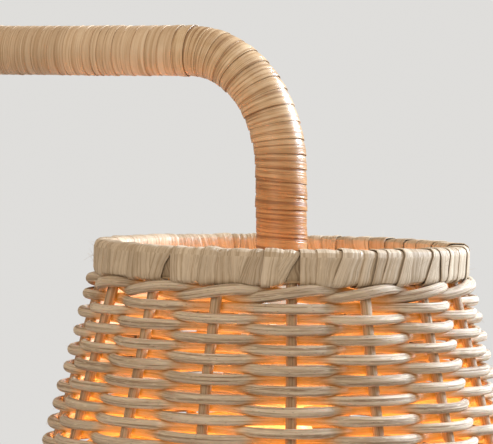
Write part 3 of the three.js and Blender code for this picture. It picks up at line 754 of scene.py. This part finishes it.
def add_stray_fibres():
    """Hairs that stand off the raffia and frayed ends that lie along the rods."""
    RIM_HAIRS, ROD_HAIRS, HAIRY_ROWS = 120, 700, 28
    skin = Skin()
    rng = random_for(61)
    for _ in range(RIM_HAIRS):
        outward, sideways = around(rng.uniform(0, TAU))
        z = rng.uniform(TOP_Z - RIM_H + 1 * MM, TOP_Z - 1 * MM)
        start = AXIS + UP * z + outward * (TOP_R - 0.5 * MM)
        way = outward * rng.uniform(0.1, 0.9) + sideways * rng.normal(0, 0.5) + UP * rng.normal(0.1, 0.6)
        grid = hair(start, way, rng.uniform(2, 8) * MM, 0.25, rng)
        skin.add(grid, tone=(rng.uniform(0, 30), 0))
    for _ in range(ROD_HAIRS):
        row = rng.randint(0, HAIRY_ROWS)
        stake = 2 * (rng.randint(0, STAKES) // 2) + (3 + row) % 2
        angle = TAU * stake / STAKES + rng.uniform(-0.16, 0.16)
        z = row_height(row) + rng.uniform(-1.6, 2.4) * MM
        outward, sideways = around(angle)
        bulge = SWING * math.cos(row_phase(row, angle)) + 0.88 * ROD_R
        start = AXIS + UP * z + outward * (stake_radius(z) + bulge)
        way = outward * rng.uniform(0.05, 0.3) + sideways * rng.choice((-1, 1)) + UP * rng.normal(0, 0.25)
        grid = hair(start, way, rng.uniform(1.5, 6) * MM, 0.15, rng)
        skin.add(grid, tone=(rng.uniform(0, 30), 0))
    skin.build("stray_fibres", RAFFIA, "raffia", crease=80)


# ---------------- hook
def bezier(a, b, c, d, share):
    share = share[:, None]
    back = 1 - share
    return back**3 * a + 3 * back**2 * share * b + 3 * back * share**2 * c + share**3 * d


def hook_line():
    """The hook's centreline, from its foot to the end of the drop, as distances and points."""
    ROUND = 0.5523  # how far towards the corner a Bezier's handles reach, to make it an ellipse
    arm_z = hook_high.z - POST_R
    end_z, kink_z = (corner.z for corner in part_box("drop_plug"))
    turn = AXIS_X - DROP_LEAN
    sag = DROP_LEAN * BEND_UPRIGHT / (arm_z - kink_z)

    def bend(*corners):
        start, corner, end = (np.array([x, 0.0, z]) for x, z in corners)
        handles = (start + ROUND * (corner - start), end + ROUND * (corner - end))
        return bezier(start, *handles, end, np.linspace(0, 1, 40))

    first = bend((0, arm_z - BEND_UPRIGHT), (0, arm_z), (BEND_ARM, arm_z))
    second = bend((turn - BEND_ARM, arm_z), (turn, arm_z), (turn + sag, arm_z - BEND_UPRIGHT))
    rough = np.vstack([(0, 0, hook_low.z), first, second, (AXIS_X, 0, kink_z), (AXIS_X, 0, end_z)])
    reach = travelled(rough)
    even = np.linspace(0, reach[-1], 900)
    return even, blended(even, reach, rough)


def wound_turns(rng, length, arm_start, arm_end):
    """Where each turn of the peel starts along the hook. The turns are narrowest along the arm."""
    turns = [0.0]
    while turns[-1] < length:
        if turns[-1] < arm_start:
            pitch = rng.uniform(4.6, 7.5)
        elif turns[-1] < arm_end:
            pitch = rng.uniform(3.6, 5.8)
        else:
            pitch = rng.uniform(5.0, 8.6)
        turns.append(turns[-1] + pitch * MM)
    return np.array(turns) * length / turns[-1]


def add_hook():
    PEEL_T = 0.32 * MM
    TUCK = 0.4  # how far a turn runs under the one before it, as a share of the pitch
    STEPS_ROUND = 44
    LIFTS = 0.6  # share of the pitch over which a turn climbs onto the one before it
    LENGTHS = 12  # the peel comes in lengths, each with its own tone
    DARK_LENGTHS = 2  # the last of them, round the drop, turn darker downwards
    BEHIND = 3 * STEPS_ROUND // 4  # each length ends at the back of the tube
    COLUMNS = (-TUCK, -0.1, 0.12, 0.3, 0.45, 0.6, 0.75, 0.88, 0.97, 1.0)
    at, line = hook_line()
    along = np.gradient(line, axis=0)
    along /= np.linalg.norm(along, axis=1)[:, None]
    length = at[-1]
    arm_end = length - 170 * MM
    rng = random_for(41)
    turns = wound_turns(rng, length, hook_high.z - 30 * MM, arm_end)
    count = len(turns) - 2
    station = np.arange(0, count * STEPS_ROUND + 1) / STEPS_ROUND
    turn = station * TAU
    start = np.interp(station, np.arange(len(turns)), turns)
    pitch = np.interp(station + 1, np.arange(len(turns)), turns) - start

    halves = np.arange(0, count + 1, 0.5)
    quarters = np.arange(0, count + 1, 0.25)
    edge = 0.28 * MM * np.interp(station, halves, rng.normal(0, 1, 2 * count + 2))
    curl = 0.1 * MM * np.abs(np.interp(station, quarters, rng.normal(0, 1, 4 * count + 4)))
    loose = np.interp(station, halves, rng.uniform(0.2, 1.25, 2 * count + 2))
    loose = loose * np.interp(start, (arm_end - 60 * MM, arm_end), (0.38, 1.5))
    top, bottom = [], []
    for column, share in enumerate(COLUMNS):
        where = np.clip(start + share * pitch + edge * max(share, 0) ** 3, 0, length)
        ramp = min(max(share / LIFTS, 0), 1)
        lift = PEEL_T * 1.05 * loose * ramp * ramp * (3 - 2 * ramp) + curl * max(share, 0) ** 4
        ridge = 0.06 * MM * math.sin(2.4 * column + 0.7) * (0 < column < len(COLUMNS) - 1)
        centre = blended(where, at, line)
        aside = np.array([0.0, 1.0, 0.0])
        across = np.cross(aside, blended(where, at, along))
        out = np.cos(turn)[:, None] * across - np.sin(turn)[:, None] * aside
        radius = POST_R - 2.3 * PEEL_T + lift
        bottom.append(centre + out * radius[:, None])
        top.append(centre + out * (radius + PEEL_T + ridge)[:, None])
    grid = np.stack(top + bottom[::-1], 1)

    cuts = np.linspace(0, count, LENGTHS + 1).astype(int) * STEPS_ROUND
    cuts[1:-1] += BEHIND
    skin = Skin()
    for i in range(LENGTHS):
        if i == LENGTHS - DARK_LENGTHS:
            skin.build("hook_peel", PEEL, "rattan_peel", "hook_wrap", crease=35)
            skin = Skin()
        skin.add(grid[cuts[i] : cuts[i + 1] + 1], tone=any_tone(random_for(42, i)))
    skin.build("drop_peel", DROP_PEEL, "rattan_peel", crease=35)


# ---------------- base
COIL_R = 2.9 * MM


def add_base():
    LEVELS = 5  # coils one above another round the edge
    low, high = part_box("base_cover")
    radius = (high.x - low.x) / 2
    pitch = (high.z - low.z) / LEVELS
    angle = circle(160)
    skin = Skin()
    for i in range(LEVELS):
        rng = random_for(51, i)
        z = low.z + pitch * (i + 0.5) + ring_values(rng.normal(0, 0.12, 24), angle) * MM
        inset = 1.8 * MM if i == LEVELS - 1 else 0
        points = polar(radius - COIL_R - inset, angle, z, 0)
        grid = rod_along(points, pitch / 2 * 1.04, closed=True)
        skin.add(grid, closed_along=True, tone=any_tone(rng))
    inner, outer = POST_R + COIL_R, radius - 3.2 * COIL_R
    turns = round((outer - inner) / (2 * COIL_R))
    share = np.linspace(0, 1, turns * 90)
    waver = np.interp(share, np.linspace(0, 1, 300), random_for(52).normal(0, 0.1, 300)) * MM
    spiral_z = high.z - COIL_R
    points = polar(inner + share * (outer - inner), share * turns * TAU, spiral_z + waver, 0)
    skin.add(rod_along(points, COIL_R * 1.02), tone=(3, 7))
    # the coils share the rods' material, so those under the shade also take its painted bulb light
    skin.build("base_coils", ROD, "rattan_coil", "base_cover")
    add_base_stitches(inner, outer, turns, spiral_z)

    low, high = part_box("foot_collar")
    depth = (high.x - low.x) / 2 - POST_R
    ring = (0, POST_R + depth / 2 + 0.2 * MM, low.z + 0.6 * MM, high.z - 0.8 * MM, depth * 0.86)
    skin = wrapped_ring(ring, 26, 53, (0.35, 0.05), loose=0.5)
    skin.build("foot_binding", PEEL, "rattan_peel", "foot_collar", crease=35)


def add_base_stitches(inner, outer, turns, z):
    """Peel stitches that tie each turn of the base's spiral to the next, in curved spokes."""
    SPOKES = 14
    HALF_W = 1.5 * MM
    SECTION = ((-1, 0), (-0.9, 0.3), (0, 0.4), (0.9, 0.3), (1, 0), (0.9, -0.3), (-0.9, -0.3))
    arch = np.linspace(-0.5, 0.5, 9)
    height = z + COIL_R * (0.42 + 0.72 * np.abs(np.cos(arch * TAU * 0.93)))
    skin = Skin()
    for spoke in range(SPOKES):
        for turn in range(1, turns - 1):
            rng = random_for(54, spoke, turn)
            angle = TAU * (spoke / SPOKES + 0.012 * turn) + rng.normal(0, 0.01)
            middle = inner + (turn + angle / TAU % 1) * (outer - inner) / turns
            if middle > outer - COIL_R:
                continue
            outward, sideways = around(angle)
            centre = outward * (middle + arch * 3.7 * COIL_R)[:, None] + UP * height[:, None]
            rows = [centre + sideways * across * HALF_W + UP * thick * MM for across, thick in SECTION]
            skin.add(np.stack(rows, 1), tone=any_tone(rng))
    skin.build("base_stitches", PEEL, "rattan_peel", crease=40)


# ---------------- turned pieces
AT_AXIS = 0.01 * MM  # radius of the small hole that a turned piece has where it meets its axis


def softened(outline, radius, steps=3):
    """An outline of (radius, height) points with each corner rounded a little."""
    points = [Vector(p) for p in outline]
    made = [tuple(points[0])]
    for before, corner, after in zip(points, points[1:], points[2:]):
        back, on = before - corner, after - corner
        reach = min(radius, back.length * 0.45, on.length * 0.45)
        start, end = corner + back.normalized() * reach, corner + on.normalized() * reach
        for s in np.linspace(0, 1, steps + 1):
            made.append(tuple((1 - s) ** 2 * start + 2 * s * (1 - s) * corner + s * s * end))
    return made + [tuple(points[-1])]


def add_turned(
    outline, name, material, slot, *replaced,
    body="lamp", soft=0.4 * MM, sides=64, axis="Z", centre=(AXIS_X, 0, 0),
):
    """A closed or axis-to-axis outline turned about a vertical axis, or about -Y or -X, through centre."""
    profile = np.array(softened(outline, soft))
    closed = np.allclose(profile[0], profile[-1])
    if closed:
        profile = profile[:-1]
    r, z = profile[:, :1], profile[:, 1:]
    grid = polar(np.maximum(r, AT_AXIS), circle(sides), z, 0)
    x, y, z = (grid[..., k] for k in range(3))
    if axis == "-Y":
        grid = np.stack([x, -z, y], -1)
    if axis == "-X":
        grid = np.stack([-z, x, y], -1)
    grid = grid + np.array(centre)
    add_piece(grid, name, material, slot, *replaced, closed_along=bool(closed), body=body, crease=30)


def wall_outline(bore, radius, low, high):
    return [(bore, low), (radius, low), (radius, high), (bore, high), (bore, low)]


def size_of(name):
    """Radius, low and high of a CAD node that is round about a vertical axis."""
    low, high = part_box(name)
    return (high.x - low.x) / 2, low.z, high.z


def thread_wave(z, low, angle, height):
    """How far a rolled lamp thread stands out at a height and angle."""
    THREAD_PITCH = 3.6 * MM
    return height * np.cos(TAU * (z - low) / THREAD_PITCH - angle)


def add_lampholder():
    WALL = 2 * MM
    SLACK = 0.3 * MM
    BORE = 5.3 * MM
    NECK_Z = 13.5 * MM  # height of the cap's straight part
    radius, cap_low, cap_high = size_of("holder_cap")
    groove_r = radius - 0.4 * MM
    cap = [(BORE, cap_high - WALL), (radius * 0.52, cap_high - WALL), (radius - WALL, cap_low + NECK_Z)]
    cap += [(radius - WALL, cap_low), (radius, cap_low), (radius, cap_low + 1.2 * MM)]
    cap += [(groove_r, cap_low + 1.6 * MM), (groove_r, cap_low + 2.2 * MM), (radius, cap_low + 2.6 * MM)]
    cap += [(radius, cap_low + NECK_Z), (radius * 0.63, cap_high), (BORE, cap_high), cap[0]]
    add_turned(cap, "holder_cap_shell", HOLDER, "holder_plastic", "holder_cap", soft=1.0 * MM)

    flange_r, body_low, body_high = size_of("holder_body")
    fitter_r, fitter_low, fitter_high = size_of("fitter_ring")
    shell_r = size_of("screw_shell")[0] + SLACK
    flange_low = fitter_high + SLACK
    flange_high = flange_low + 3 * MM
    spigot_r = radius - WALL - SLACK  # the part that stands up inside the cap
    body = [(shell_r, body_low), (radius, body_low), (radius, flange_low), (flange_r, flange_low)]
    body += [(flange_r, flange_high), (radius, flange_high), (radius, cap_low - SLACK)]
    body += [(spigot_r, cap_low - SLACK), (spigot_r, body_high), (shell_r, body_high), body[0]]
    add_turned(body, "holder_body_shell", HOLDER, "holder_plastic", "holder_body", soft=0.7 * MM)

    thread_low, thread_high = body_low + 1.5 * MM, flange_low - 12 * MM
    turns = (thread_high - thread_low) / (2.6 * MM)
    share = np.linspace(0, 1, int(turns * 40))
    fade = np.clip(np.minimum(share, 1 - share) * turns * 3, 0.15, 1)
    ridge_z = thread_low + share * (thread_high - thread_low)
    points = polar(radius - 0.25 * MM, share * turns * TAU, ridge_z)
    ridge = rod_along(points, 0.55 * MM * fade, sides=8)
    add_piece(ridge, "holder_body_thread", HOLDER, "holder_plastic", tone=(2, 2))

    ring_r, ring_low, ring_high = size_of("shade_ring")
    angle = circle(144)
    ribs = 0.5 * MM * np.cos(24 * angle)
    profile = softened(wall_outline(radius + SLACK, ring_r, ring_low, ring_high), 0.9 * MM)[:-1]
    rows = [polar(r + ribs * (r > ring_r - 1 * MM), angle, z) for r, z in profile]
    ring = ("shade_ring_ribbed", HOLDER, "holder_plastic", "shade_ring")
    add_piece(np.stack(rows), *ring, closed_along=True, crease=30)
    washer = wall_outline(radius + SLACK, fitter_r, fitter_low, fitter_high)
    add_turned(washer, "fitter_washer", STEEL, "zinc_steel", "fitter_ring")

    outer_r, shell_low, shell_high = size_of("screw_shell")
    heights = np.linspace(shell_low, shell_high, 46)
    angle = circle(48)
    rows = []
    for skin_r, order in ((outer_r, heights), (outer_r - 0.45 * MM, heights[::-1])):
        for z in order:
            rows.append(polar(skin_r - SLACK + thread_wave(z, shell_low, angle, 0.32 * MM), angle, z))
    shell = ("screw_shell_threaded", BRASS, "brass", "screw_shell")
    add_piece(np.stack(rows), *shell, closed_along=True, crease=40)
    contact_r, low, high = size_of("centre_contact")
    contact = [(0, low), (contact_r, low + 0.2 * MM), (contact_r, high), (0, high)]
    add_turned(contact, "centre_contact_spring", BRASS, "brass", "centre_contact", soft=0.2 * MM)


def add_knob():
    low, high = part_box("switch_knob")
    radius = (high.x - low.x) / 2
    length = high.y - low.y
    centre = ((low.x + high.x) / 2, high.y, (low.z + high.z) / 2)
    angle = circle(120)
    flutes = 1 - 0.035 * (1 + np.cos(12 * angle))
    # (share of the radius, share of the length) from the lampholder outwards
    profile = [(0, 0), (0.82, 0), (0.88, 0.06), (0.9, 0.25), (1, 0.32)]
    profile += [(1, 0.86), (0.94, 0.97), (0.8, 1), (0.7, 0.97), (0, 0.94)]
    rows = []
    for r, z in softened([(r * radius, z * length) for r, z in profile], 0.8 * MM, 4):
        fluted = 0.3 * length < z < 0.99 * length and r > 0.9 * radius
        shape = max(r, AT_AXIS) * (flutes if fluted else np.ones_like(angle))
        rows.append(np.stack([shape * np.cos(angle), 0 * angle - z, shape * np.sin(angle)], -1))
    knob = ("switch_knob_fluted", HOLDER, "holder_plastic", "switch_knob")
    add_piece(np.stack(rows) + np.array(centre), *knob, body="switch_knob", crease=35)
    low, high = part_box("switch_shaft")
    radius = (high.x - low.x) / 2
    length = high.y - low.y
    rod = [(0, 0), (radius, 0), (radius, length), (0, length)]
    shaft = ("switch_shaft_rod", BRASS, "brass", "switch_shaft")
    add_turned(rod, *shaft, body="switch_knob", axis="-Y", centre=(centre[0], high.y, centre[2]))


def add_bulb():
    cap_r, cap_low, cap_high = size_of("bulb_cap")
    glass_r, glass_low, _ = size_of("bulb_glass")
    contact_r, low, high = size_of("bulb_contact")
    cone_low = cap_high - 3 * MM
    skirt = cap_low + 4 * MM
    bore_r = cap_r - 1.2 * MM
    angle = circle(48)
    rows = [polar(bore_r, angle, cap_low)]
    rows += [polar(cap_r - 0.2 * MM, angle, z) for z in (cap_low, cap_low + 2 * MM, skirt - 1 * MM)]
    for z in np.linspace(skirt, cone_low, 44):
        rows.append(polar(cap_r - 0.55 * MM + thread_wave(z, skirt, angle, 0.35 * MM), angle, z))
    rows.append(polar(cap_r * 0.86, angle, cone_low + 0.6 * MM))
    rows.append(polar(contact_r * 1.15, angle, cap_high - 0.2 * MM))
    rows.append(polar(AT_AXIS, angle, cap_high))
    rows.append(polar(AT_AXIS, angle, cone_low - 1 * MM))
    rows.append(polar(bore_r, angle, cone_low - 1 * MM))
    cap = ("bulb_cap_threaded", BRASS, "brass", "bulb_cap")
    add_piece(np.stack(rows), *cap, closed_along=True, body="bulb", crease=40)
    button = [(0, low), (contact_r, low), (contact_r * 0.9, (low + high) / 2), (0, high)]
    contact = ("bulb_contact_button", BRASS, "brass", "bulb_contact")
    add_turned(button, *contact, body="bulb", soft=0.5 * MM)

    # opal envelope: a ball at the foot and a flare up to the neck inside the cap
    neck_r = cap_r - 1.3 * MM
    ball_z = glass_low + glass_r
    share = np.linspace(0, 1, 22)
    quarter = share * math.pi / 2
    ball = np.stack([glass_r * np.sin(quarter), ball_z - glass_r * np.cos(quarter)], -1)
    handles = [(glass_r, ball_z), (glass_r, ball_z + 24 * MM), (neck_r + 2 * MM, cap_low - 16 * MM)]
    flare = bezier(*np.array(handles + [(neck_r, cap_low)]), share[1:])
    neck_high = cap_low + 6 * MM
    outline = np.vstack([ball, flare, (neck_r, neck_high), (0, neck_high)])
    envelope = ("bulb_envelope", GLASS, "opal_glass", "bulb_glass", "bulb_stem")
    add_turned(outline, *envelope, body="bulb", soft=0.05 * MM)


def add_wires():
    """The wire ring inside the wall and the arms that carry it."""
    low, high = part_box("carrier_ring")
    wire_r = (high.z - low.z) / 2 * 1.12
    radius = (high.x - low.x) / 2 - wire_r
    middle_z = (low.z + high.z) / 2
    ring = rod_along(polar(radius, circle(160), middle_z), wire_r, closed=True, sides=12)
    wire = ("carrier_wire", STEEL, "zinc_steel", "carrier_ring")
    add_piece(ring, *wire, tone=(0, 0), closed_along=True)
    start = size_of("fitter_ring")[0] - 4 * MM
    share = np.linspace(0, 1, 24)
    z = middle_z - 1.2 * MM * np.sin(math.pi * share) + 0.6 * MM * (1 - share)
    squash = np.interp(share, (0, 0.06, 0.12), (0.5, 0.55, 1))  # the end is hammered flat
    for i in range(3):
        points = polar(start + share * (radius - start), TAU / 4 + TAU * i / 3, z)
        grid = rod_along(points, wire_r, sides=12, flat=squash)
        wire = (f"fitter_arm_wire_{i + 1}", STEEL, "zinc_steel", f"fitter_arm_{i + 1}")
        add_piece(grid, *wire, tone=(0, 0))


def add_small_parts():
    LEAD_R = 2.55 * MM
    low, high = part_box("lead_gland")
    flange = (high.y - low.y) / 2
    length = high.x - low.x
    middle = (high.x, 0, (low.z + high.z) / 2)
    bush = [(LEAD_R, 0), (flange * 0.68, 0), (flange * 0.68, length - 2.5 * MM)]
    bush += [(flange, length - 2.5 * MM), (flange, length - 1.0 * MM)]
    bush += [(LEAD_R + 1.4 * MM, length), (LEAD_R, length), (LEAD_R, 0)]
    gland = ("lead_gland_bush", SLEEVE, "lead_sleeve", "lead_gland")
    add_turned(bush, *gland, axis="-X", centre=middle)
    radius, low, high = size_of("felt_foot")
    pad = [(0, low), (radius, low), (radius, high), (0, high)]
    foot = ("felt_pad", FELT, "felt", "felt_foot")
    add_turned(pad, *foot, soft=0.7 * MM, sides=96, centre=(0, 0, 0))


def dress_cad_nodes():
    """Materials for the CAD nodes that are shown as they are."""
    dresses = {
        BOARD: ("base_board", "top_rim_hoop", "bottom_rim_hoop"),
        DARK_STEEL: ("base_weight_plate", "hook_tube", "foot_plug", "drop_plug"),
        STEEL: ("base_nut", "drop_nut"),
        BRASS: ("base_nipple", "drop_nipple"),
        SLEEVE: ("inner_lead",),
        INSULATOR: ("holder_insert",),
    }
    for material, names in dresses.items():
        for name in names:
            nodes[name].data.materials.clear()
            nodes[name].data.materials.append(material)


# ---------------- studio
def add_floor():
    """A round floor that fades out towards its edge."""
    RADIUS = 1.35
    data = bpy.data.meshes.new("floor")
    edge = polar(RADIUS, circle(96), 0, 0.13)
    data.from_pydata(edge.tolist(), [], [tuple(range(len(edge)))])
    s = Shader("floor", Roughness=0.9, Specular_IOR_Level=0.1, Base_Color=(0.47, 0.465, 0.455))
    reach = s.maths("LENGTH", s.place(), kind="VectorMath", result="Value")
    s.look(Alpha=s.range(reach, 0.75, 1.2, 1.0, 0.0))
    data.materials.append(s.material)
    floor = add_object("floor", data)


def add_light(name, kind, place, target, power, colour, size):
    data = bpy.data.lights.new(name, kind)
    data.energy = power
    data.color = colour
    if kind == "AREA":
        data.shape = "DISK"
        data.size = size
    else:
        data.shadow_soft_size = size
    light = add_object(name, data)
    light.visible_camera = False
    light.location = place
    light.rotation_euler = (Vector(target) - Vector(place)).to_track_quat("-Z", "Y").to_euler()


def seen_from_camera(right, back, up):
    """A point given from the shade's top, in the camera's own right and away directions."""
    across = Vector((math.cos(CAMERA_AZIMUTH), math.sin(CAMERA_AZIMUTH), 0))
    away = Vector((-math.sin(CAMERA_AZIMUTH), math.cos(CAMERA_AZIMUTH), 0))
    return Vector((AXIS_X, 0, TOP_Z)) + across * right + away * back + Vector((0, 0, up))


def add_world():
    """One backdrop that the camera sees and another that lights the lamp, shown in plain colours."""
    world = bpy.data.worlds.new("studio")
    settings = bpy.context.scene.view_settings
    settings.view_transform = "Standard"
    settings.look = "None"
    bpy.context.scene.world = world
    world.use_nodes = True
    tree = world.node_tree
    shown = tree.nodes["Background"]
    lighting = tree.nodes.new("ShaderNodeBackground")
    for node, colour, strength in ((shown, (0.737, 0.727, 0.708), 1), (lighting, (1.0, 0.84, 0.66), 0.43)):
        node.inputs["Color"].default_value = (*colour, 1)
        node.inputs["Strength"].default_value = strength
    path = tree.nodes.new("ShaderNodeLightPath")
    mix = tree.nodes.new("ShaderNodeMixShader")
    tree.links.new(path.outputs["Is Camera Ray"], mix.inputs[0])
    tree.links.new(lighting.outputs[0], mix.inputs[1])
    tree.links.new(shown.outputs[0], mix.inputs[2])
    tree.links.new(mix.outputs[0], tree.nodes["World Output"].inputs["Surface"])


def add_lights():
    target = seen_from_camera(0, 0, -0.08)
    for name, place, power, colour, size in (
        ("key", (1.38, 0.86, 0.82), 54, (0.86, 0.97, 1.10), 0.5),
        ("side", (1.65, 0.3, 0.7), 20, (0.84, 0.97, 1.16), 0.35),
        ("fill", (-0.9, -1.6, 0.5), 9, (1.0, 0.85, 0.68), 1.4),
        ("top", (0.1, -0.5, 1.3), 4, (1.0, 0.95, 0.9), 1.0),
    ):
        add_light(name, "AREA", seen_from_camera(*place), target, power, colour, size)
    bulb_low, bulb_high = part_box("bulb_glass")
    glow_z = bulb_low.z + 0.45 * (bulb_high.z - bulb_low.z)
    for i in range(4):  # the lit bulb's own light, from just outside its glass
        place = polar(38 * MM, TAU * (i + 0.5) / 4, glow_z)
        add_light(f"glow_{i + 1}", "POINT", place, target, 0.145, (1.0, 0.33, 0.04), 12 * MM)


add_camera()
add_world()
add_lights()
add_floor()
add_wall()
add_twines()
add_stakes()
add_rims()
add_stray_fibres()
add_wires()
add_hook()
add_base()
add_lampholder()
add_knob()
add_bulb()
add_small_parts()
dress_cad_nodes()
